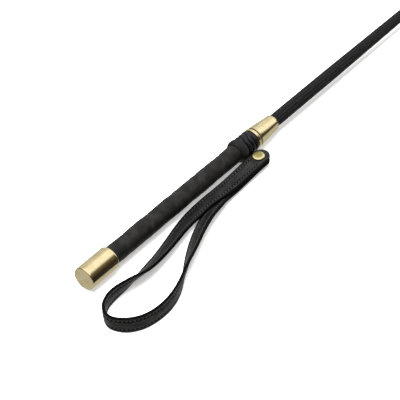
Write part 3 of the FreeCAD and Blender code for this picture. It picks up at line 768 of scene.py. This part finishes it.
# ---- rivet ----
# A domed brass cap with a rolled rim, pressed on to a post that goes down through the strap and
# the tab to a flat foot.
rivet_radius, rim_level = (rivet_high.x - rivet_low.x) / 2, rivet_low.z
rivet_profile = eased([
    (rim_level, 0, 0), (rim_level, rivet_radius - 0.3 * mm, 0.15 * mm),
    (rim_level + 0.45 * mm, rivet_radius, 0.35 * mm),
    (rim_level + 0.95 * mm, rivet_radius - 0.45 * mm, 0.35 * mm),
    (rivet_high.z - 0.45 * mm, rivet_radius - 2.1 * mm, 1.2 * mm),
    (rivet_high.z, 0.4 * mm, 0.35 * mm), (rivet_high.z, 0, 0)], steps=10)
rivet_grid, rivet_place, _ = turned(rivet_profile, 96)
rivet_grid = rivet_grid[..., [2, 1, 0]] + (rivet_at.x, rivet_at.y, 0)
from_post = np.linalg.norm(rivet_grid[..., :2] - (rivet_at.x, rivet_at.y), axis=-1) / rivet_radius
rivet_stain = np.clip((0.85 - from_post) / 0.3, 0, 1)
rivet = skin("rivet_cap_brass", (rivet_grid, rivet_place, rivet_stain), sharp=60)
rivet_brass = brass("rivet_brass", (0.40, 0.365, 0.14, 1), (0.3, 0.3, 0.3))
rivet.data.materials.append(rivet_brass)
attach(rivet, "hanger")
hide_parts("rivet_cap")
for name in ("rivet_post", "rivet_foot"):
    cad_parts[name].data.materials.clear()
    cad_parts[name].data.materials.append(rivet_brass)


# ---- tip whipping ----
# Waxed thread whipped tightly round the end of the braid and the root of the tongue.
whip_low, whip_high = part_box("tip_whipping")
whip_pitch, whip_depth = 0.9 * mm, 0.38 * mm
whip_along = np.linspace(whip_low.x, whip_high.x, 240)[:, None]
whip_angle = np.linspace(0, 2 * np.pi, 49)
whip_turn = whip_along / whip_pitch - whip_angle / (2 * np.pi)
whip_bulge = np.sqrt(1 - (2 * (whip_turn - np.floor(whip_turn)) - 1) ** 2 * 0.96)
whip_end = np.minimum(whip_along - whip_low.x, whip_high.x - whip_along)
whip_radius = (whip_high.z - whip_depth + whip_depth * whip_bulge
               - 0.5 * mm * np.exp(-whip_end / (0.3 * mm)))
whip_grid = np.stack(np.broadcast_arrays(
    whip_along, -whip_radius * np.cos(whip_angle), whip_radius * np.sin(whip_angle)), -1)
whip_place = np.stack(np.broadcast_arrays(whip_along, whip_angle * whip_high.z), -1)
whip_grid = np.concatenate([whip_grid[:1] * (1, 0, 0), whip_grid, whip_grid[-1:] * (1, 0, 0)])
whip_place = np.concatenate([whip_place[:1], whip_place, whip_place[-1:]])
whipping = skin("tip_whipping_thread", (whip_grid, whip_place, 0.4), sharp=180)
whipping.data.materials.append(thread.material)
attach(whipping, "root")
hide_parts("tip_whipping")


# ---- flap ----
# Two leather plates stitched round their edge.  Their tongues are glued over the end of the core
# rod.
tongue_low, tongue_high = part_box("flap_tongue_upper")
flap_low, flap_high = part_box("flap_face")
corner = 5.0 * mm
rod_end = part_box("core_rod")[1].x
flap_along = np.concatenate([
    np.linspace(tongue_low.x, flap_high.x - corner, 120),
    flap_high.x - corner + corner * np.sin(np.linspace(0, np.pi / 2, 16))[1:]])
flap_half = flap_high.y
outline = np.interp(flap_along, [tongue_low.x, tongue_high.x, flap_low.x + 1 * mm, 630 * mm],
                    [4 * mm, tongue_high.y, tongue_high.y + 0.2 * mm, flap_half])
smooth = np.convolve(np.pad(outline, 6, mode="edge"), np.ones(13) / 13, mode="valid")
outline = np.where(flap_along < flap_high.x - corner - 2 * mm, smooth, outline)
round_off = np.clip((flap_along - flap_high.x + corner) / corner, 0, 1)
outline = outline - corner * (1 - np.sqrt(1 - round_off ** 2))
flap_across = np.concatenate([[-1, -0.99, -0.97, -0.93, -0.86], np.linspace(-0.8, 0.8, 33),
                              [0.86, 0.93, 0.97, 0.99, 1]])
flap_x = np.broadcast_to(flap_along[:, None], (len(flap_along), len(flap_across)))
flap_y = outline[:, None] * flap_across
flap_edge = np.minimum(outline[:, None] - np.abs(flap_y), flap_high.x - flap_x)
flap_ease = np.clip(1 - flap_edge / (0.6 * mm), 0, 1)
seam_inset = 2.6 * mm
flap_groove = np.exp(-((flap_edge - seam_inset) / (0.5 * mm)) ** 2)
over_rod = np.clip((rod_end + 3 * mm - flap_x) / (8 * mm), 0, 1)
rod_swell = 2.0 * mm * np.exp(-(flap_y / (2.4 * mm)) ** 2) * over_rod ** 0.7
plate = flap_high.z
flap_rise = (plate - 0.5 * mm * (1 - np.sqrt(1 - flap_ease ** 2)) - 0.22 * mm * flap_groove
             + np.minimum(rod_swell, tongue_high.z - plate + 0.3 * mm))
flap_place = np.stack([flap_x, flap_y], -1)
flap_wear = np.clip(1 - flap_edge / (0.5 * mm), 0, 1)
flap_leather = strap_leather.material
seam_x = np.arange(600 * mm, 655 * mm, stitch_step)
seam_half = np.interp(seam_x, flap_along, outline) - seam_inset
end_y = np.arange(-flap_half + 6.5 * mm, flap_half - 6.4 * mm, stitch_step)
seam_centre = np.concatenate([
    np.stack([seam_x, seam_half, 0 * seam_x], -1), np.stack([seam_x, -seam_half, 0 * seam_x], -1),
    np.stack([flap_high.x - seam_inset + 0 * end_y, end_y, 0 * end_y], -1)])
seam_slope = np.gradient(seam_half, seam_x)
seam_ahead = unit(np.concatenate([
    np.stack([1 + 0 * seam_x, seam_slope, 0 * seam_x], -1),
    np.stack([1 + 0 * seam_x, -seam_slope, 0 * seam_x], -1),
    np.stack([0 * end_y, 1 + 0 * end_y, 0 * end_y], -1)]))
for side, name, nodes in ((1, "flap_leather_face", ("flap_tongue_upper", "flap_face")),
                          (-1, "flap_leather_back", ("flap_tongue_lower", "flap_back"))):
    outer = np.stack([flap_x, flap_y, side * flap_rise], -1)
    inner = np.stack([flap_x, flap_y, 0 * flap_x + side * 0.03 * mm], -1)
    flap = skin(name, slab(outer, inner, flap_place, flap_wear))
    flap.data.materials.append(flap_leather)
    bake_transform(flap)
    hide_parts(*nodes)
    seam_up = np.broadcast_to([0.0, 0.0, side], seam_ahead.shape)
    seam = skin(name.replace("leather", "stitching"), stitches(
        seam_centre + seam_up * (plate - 0.12 * mm), seam_ahead, np.cross(seam_up, seam_ahead),
        seam_up, stitch_length, thread_thick))
    seam.data.materials.append(thread.material)
    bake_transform(seam)


# ---- inside the handle and shaft ----
# Hidden pieces that keep their plain shapes: a turned plug and former of beech, a drawn glass
# fibre rod, a nylon bush and a cotton filler under the braid.
def grained(name, pale, dark, rough, stretch, size, depth):
    """A material whose tone and relief run in streaks: `stretch` shortens them across the piece."""
    finish = Finish(name, {})
    streaks = finish.noise(finish.spot(stretch=stretch), size, 5.0, 0.6)
    finish.colour(finish.mix(streaks.step(0.3, 0.7), pale, dark))
    finish.roughness(rough + 0.15 * streaks)
    finish.relief((streaks, depth))
    return finish.material


beech = grained("beech", (0.52, 0.33, 0.17, 1), (0.36, 0.20, 0.09, 1), 0.5,
                (0.1, 1, 1), 0.8 * mm, 0.05 * mm)
fibre = grained("glass_fibre", (0.62, 0.60, 0.48, 1), (0.45, 0.44, 0.34, 1), 0.3,
                (0.03, 1, 1), 0.3 * mm, 0.02 * mm)
nylon = grained("nylon", (0.75, 0.74, 0.70, 1), (0.68, 0.67, 0.62, 1), 0.4,
                (1, 1, 1), 3 * mm, 0.01 * mm)
cotton = grained("cotton", (0.60, 0.57, 0.50, 1), (0.40, 0.37, 0.31, 1), 0.8,
                 (0.2, 1, 1), 0.4 * mm, 0.1 * mm)
for name, material in (("butt_plug", beech), ("grip_former", beech), ("core_rod", fibre),
                       ("ferrule_bush", nylon), ("shaft_filler", cotton)):
    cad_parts[name].data.materials.clear()
    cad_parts[name].data.materials.append(material)
